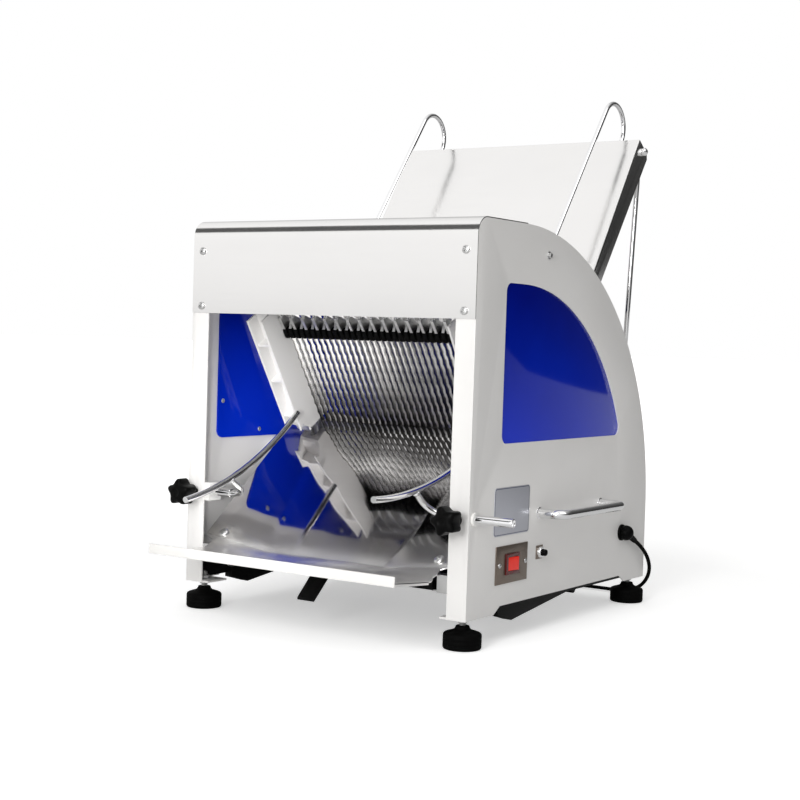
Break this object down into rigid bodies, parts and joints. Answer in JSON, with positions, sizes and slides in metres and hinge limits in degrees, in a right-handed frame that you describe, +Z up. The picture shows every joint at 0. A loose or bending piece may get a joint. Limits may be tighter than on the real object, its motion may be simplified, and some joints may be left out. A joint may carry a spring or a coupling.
{
  "type": "bread slicer",
  "caption": "Counter-top bread slicer: a steep infeed chute, two counter-moving frames of blades between white side panels, and a polished outfeed tray with guide arms.",
  "frame": {"origin": "on the floor below the middle of the machine's box, measured without the cord", "axes": "+X to the machine's right as seen from the front, +Y towards the infeed chute at the back, +Z up"},
  "size_m": [0.68, 0.9294, 0.919],
  "materials": {
    "white_paint": "satin",
    "blue_window": "gloss",
    "polished_steel": "polished",
    "zinc_steel": "plain",
    "chrome": "polished",
    "black_paint": "satin",
    "black_plastic": "matte",
    "black_rubber": "matte",
    "white_nylon": "matte",
    "blade_steel": "fine",
    "frame_alloy": "satin",
    "grey_iron": "matte",
    "shaft_steel": "ground",
    "bronze_plate": "satin",
    "dark_red": "gloss",
    "red": "gloss",
    "plate_alloy": "satin",
    "brass": "plain",
    "tie_plastic": "matte"
  },
  "bodies": {
    "machine": {"left_side_panel": "white_paint", "right_side_panel": "white_paint", "rear_cover": "white_paint", "frame_rails": "white_paint", "left_guide_column": "white_paint", "right_guide_column": "white_paint", "left_window_plate": "blue_window", "right_window_plate": "blue_window", "front_cover": "polished_steel", "infeed_chute": "polished_steel", "outfeed_tray": "polished_steel", "panel_screws": "zinc_steel", "tie_bar": "zinc_steel", "tray_screws": "zinc_steel", "tray_brackets": "zinc_steel", "drawer_runners": "zinc_steel", "motor_plate": "zinc_steel", "foot_studs": "zinc_steel", "carry_handles": "chrome", "chute_props": "chrome", "base_rails": "black_paint", "cord_gland": "black_plastic", "plug_body": "black_plastic", "foot_pads": "black_rubber", "drive_belt": "black_rubber", "power_cord": "black_rubber", "cord_coil": "black_rubber", "guide_bushes": "white_nylon", "arm_bushes": "white_nylon", "tray_lip": "white_nylon", "motor_body": "grey_iron", "bearing_housings": "grey_iron", "switch_plate": "bronze_plate", "reset_plate": "bronze_plate", "switch_bezel": "dark_red", "rating_plate": "plate_alloy", "plug_pins": "brass", "cord_tie": "tie_plastic"},
    "front_blade_frame": {"front_frame": "frame_alloy", "front_blades": "blade_steel", "front_hooks": "black_plastic", "front_connecting_rod": "shaft_steel"},
    "rear_blade_frame": {"rear_frame": "frame_alloy", "rear_blades": "blade_steel", "rear_hooks": "black_plastic", "rear_connecting_rod": "shaft_steel"},
    "crank": {"crankshaft": "shaft_steel", "crank_discs": "grey_iron", "driven_pulley": "grey_iron"},
    "motor_rotor": {"motor_pulley": "grey_iron"},
    "left_sleeve": {"left_arm_sleeve": "chrome"},
    "right_sleeve": {"right_arm_sleeve": "chrome"},
    "left_arm": {"left_guide_arm": "chrome"},
    "right_arm": {"right_guide_arm": "chrome"},
    "left_star_knob": {"left_knob": "black_plastic"},
    "right_star_knob": {"right_knob": "black_plastic"},
    "rocker": {"switch_rocker": "red"},
    "button": {"reset_button": "black_plastic"},
    "press": {"loaf_press": "chrome"},
    "drawer": {"crumb_drawer": "black_paint"}
  },
  "joints": [
    {"name": "front_frame_slide", "type": "slide", "parent": "machine", "child": "front_blade_frame", "axis": [0, -0.5373, 0.8434], "range_m": [-0.015, 0.015]},
    {"name": "rear_frame_slide", "type": "slide", "parent": "machine", "child": "rear_blade_frame", "axis": [0, -0.5373, 0.8434], "range_m": [-0.015, 0.015]},
    {"name": "crank_spin", "type": "hinge", "parent": "machine", "child": "crank", "pos_m": [-0.008, 0.11908, 0.11602], "axis": [1, 0, 0], "continuous": true},
    {"name": "motor_spin", "type": "hinge", "parent": "machine", "child": "motor_rotor", "pos_m": [-0.008, 0.3005, 0.13], "axis": [1, 0, 0], "continuous": true},
    {"name": "left_sleeve_slide", "type": "slide", "parent": "machine", "child": "left_sleeve", "axis": [1, 0, 0], "range_m": [-0.042, 0.018]},
    {"name": "right_sleeve_slide", "type": "slide", "parent": "machine", "child": "right_sleeve", "axis": [1, 0, 0], "range_m": [-0.058, 0.002]},
    {"name": "left_arm_turn", "type": "hinge", "parent": "left_sleeve", "child": "left_arm", "pos_m": [-0.208, -0.2385, 0.201], "axis": [1, 0, 0], "range_deg": [-15, 20]},
    {"name": "right_arm_turn", "type": "hinge", "parent": "right_sleeve", "child": "right_arm", "pos_m": [0.232, -0.2385, 0.201], "axis": [1, 0, 0], "range_deg": [-4, 30]},
    {"name": "left_knob_turn", "type": "hinge", "parent": "machine", "child": "left_star_knob", "pos_m": [-0.2705, -0.2545, 0.201], "axis": [0, -1, 0], "range_deg": [0, 360]},
    {"name": "right_knob_turn", "type": "hinge", "parent": "machine", "child": "right_star_knob", "pos_m": [0.2545, -0.2545, 0.201], "axis": [0, -1, 0], "range_deg": [0, 360]},
    {"name": "rocker_tip", "type": "hinge", "parent": "machine", "child": "rocker", "pos_m": [0.2735, -0.1215, 0.122], "axis": [0, 0, 1], "range_deg": [0, 16]},
    {"name": "button_press", "type": "slide", "parent": "machine", "child": "button", "axis": [-1, 0, 0], "range_m": [0, 0.003], "stiffness_N_per_m": 400},
    {"name": "press_swing", "type": "hinge", "parent": "machine", "child": "press", "pos_m": [-0.008, 0.36987, 0.82719], "axis": [1, 0, 0], "range_deg": [-100, 8]},
    {"name": "drawer_slide", "type": "slide", "parent": "machine", "child": "drawer", "axis": [0, -1, 0], "range_m": [0, 0.23]}
  ],
  "couplings": [
    {"joint": "rear_frame_slide", "follows": "front_frame_slide", "ratio": -1},
    {"joint": "motor_spin", "follows": "crank_spin", "ratio": 2.2308}
  ]
}
